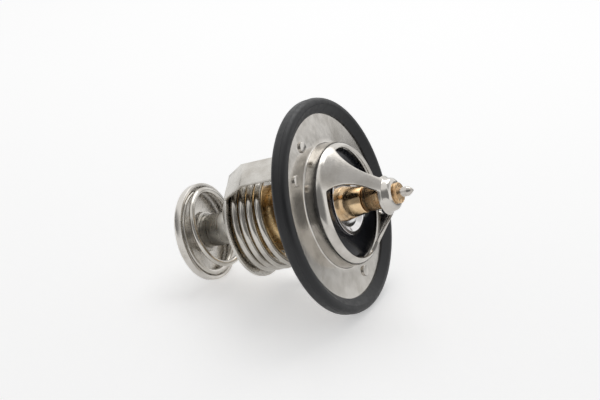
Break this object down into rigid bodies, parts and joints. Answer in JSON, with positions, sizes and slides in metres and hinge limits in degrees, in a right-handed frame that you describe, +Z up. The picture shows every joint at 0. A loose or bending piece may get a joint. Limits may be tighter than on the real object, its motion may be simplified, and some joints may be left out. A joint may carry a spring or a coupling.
{
  "type": "engine thermostat",
  "caption": "Automotive coolant thermostat with rubber flange ring, domed two-leg outlet frame, wax element, main spring and sprung bypass disc, lying on its side.",
  "frame": {"origin": "the centre of the flange, in the middle of its thickness and of the sealing ring's width, on the thermostat's axis", "axes": "+Z is up; the thermostat lies on its side on the lowest points of the sealing ring and of the bypass disc, so its axis rises towards the outlet in the XZ plane; +X is the axis' direction along the floor, towards the outlet; +Y goes across, away from the side that the picture was taken from"},
  "size_m": [0.0678, 0.0588, 0.0559],
  "materials": {
    "frame_steel": "satin drawn stainless sheet",
    "stirrup_steel": "satin stainless strip with rolled grain",
    "ring_rubber": "smooth moulded black rubber",
    "seal_rubber": "glossy moulded black rubber",
    "inner_rubber": "plain black rubber, hidden",
    "plug_brass": "turned brass with a staked face",
    "guide_brass": "turned brass, bright",
    "case_brass": "drawn brass, slightly dull",
    "piston_steel": "ground hardened steel",
    "disc_steel": "stamped stainless disc",
    "retainer_steel": "bright stamped stainless dish",
    "spring_wire": "drawn stainless spring wire",
    "bypass_wire": "drawn stainless spring wire",
    "cup_steel": "satin stamped stainless cup",
    "stem_steel": "turned steel, dull grey",
    "clip_steel": "spring steel snap ring",
    "wax": "wax with copper powder, hidden",
    "fluid": "grease in the throat, hidden",
    "backup_plastic": "white low-friction plastic, hidden"
  },
  "bodies": {
    "frame": {"upper_frame": "frame_steel", "sealing_ring": "ring_rubber", "lower_frame": "stirrup_steel", "adjusting_plug": "plug_brass", "piston": "piston_steel", "main_spring": "spring_wire"},
    "valve": {"element_guide": "guide_brass", "backup_plate": "backup_plastic", "rubber_packing": "inner_rubber", "pressure_fluid": "fluid", "diaphragm": "inner_rubber", "wax_charge": "wax", "wax_case": "case_brass", "valve_disc": "disc_steel", "valve_seal": "seal_rubber", "seal_retainer": "retainer_steel", "bypass_stem": "stem_steel", "stem_clip": "clip_steel", "bypass_spring": "bypass_wire"},
    "bypass": {"bypass_disc": "cup_steel"}
  },
  "joints": [
    {"name": "valve_lift", "type": "slide", "parent": "frame", "child": "valve", "axis": [-0.9375, 0, -0.348], "range_m": [0, 0.008], "stiffness_N_per_m": 2500, "deforming": ["main_spring"]},
    {"name": "bypass_slide", "type": "slide", "parent": "valve", "child": "bypass", "axis": [0.9375, 0, 0.348], "range_m": [0, 0.005], "stiffness_N_per_m": 400, "deforming": ["bypass_spring"]}
  ]
}
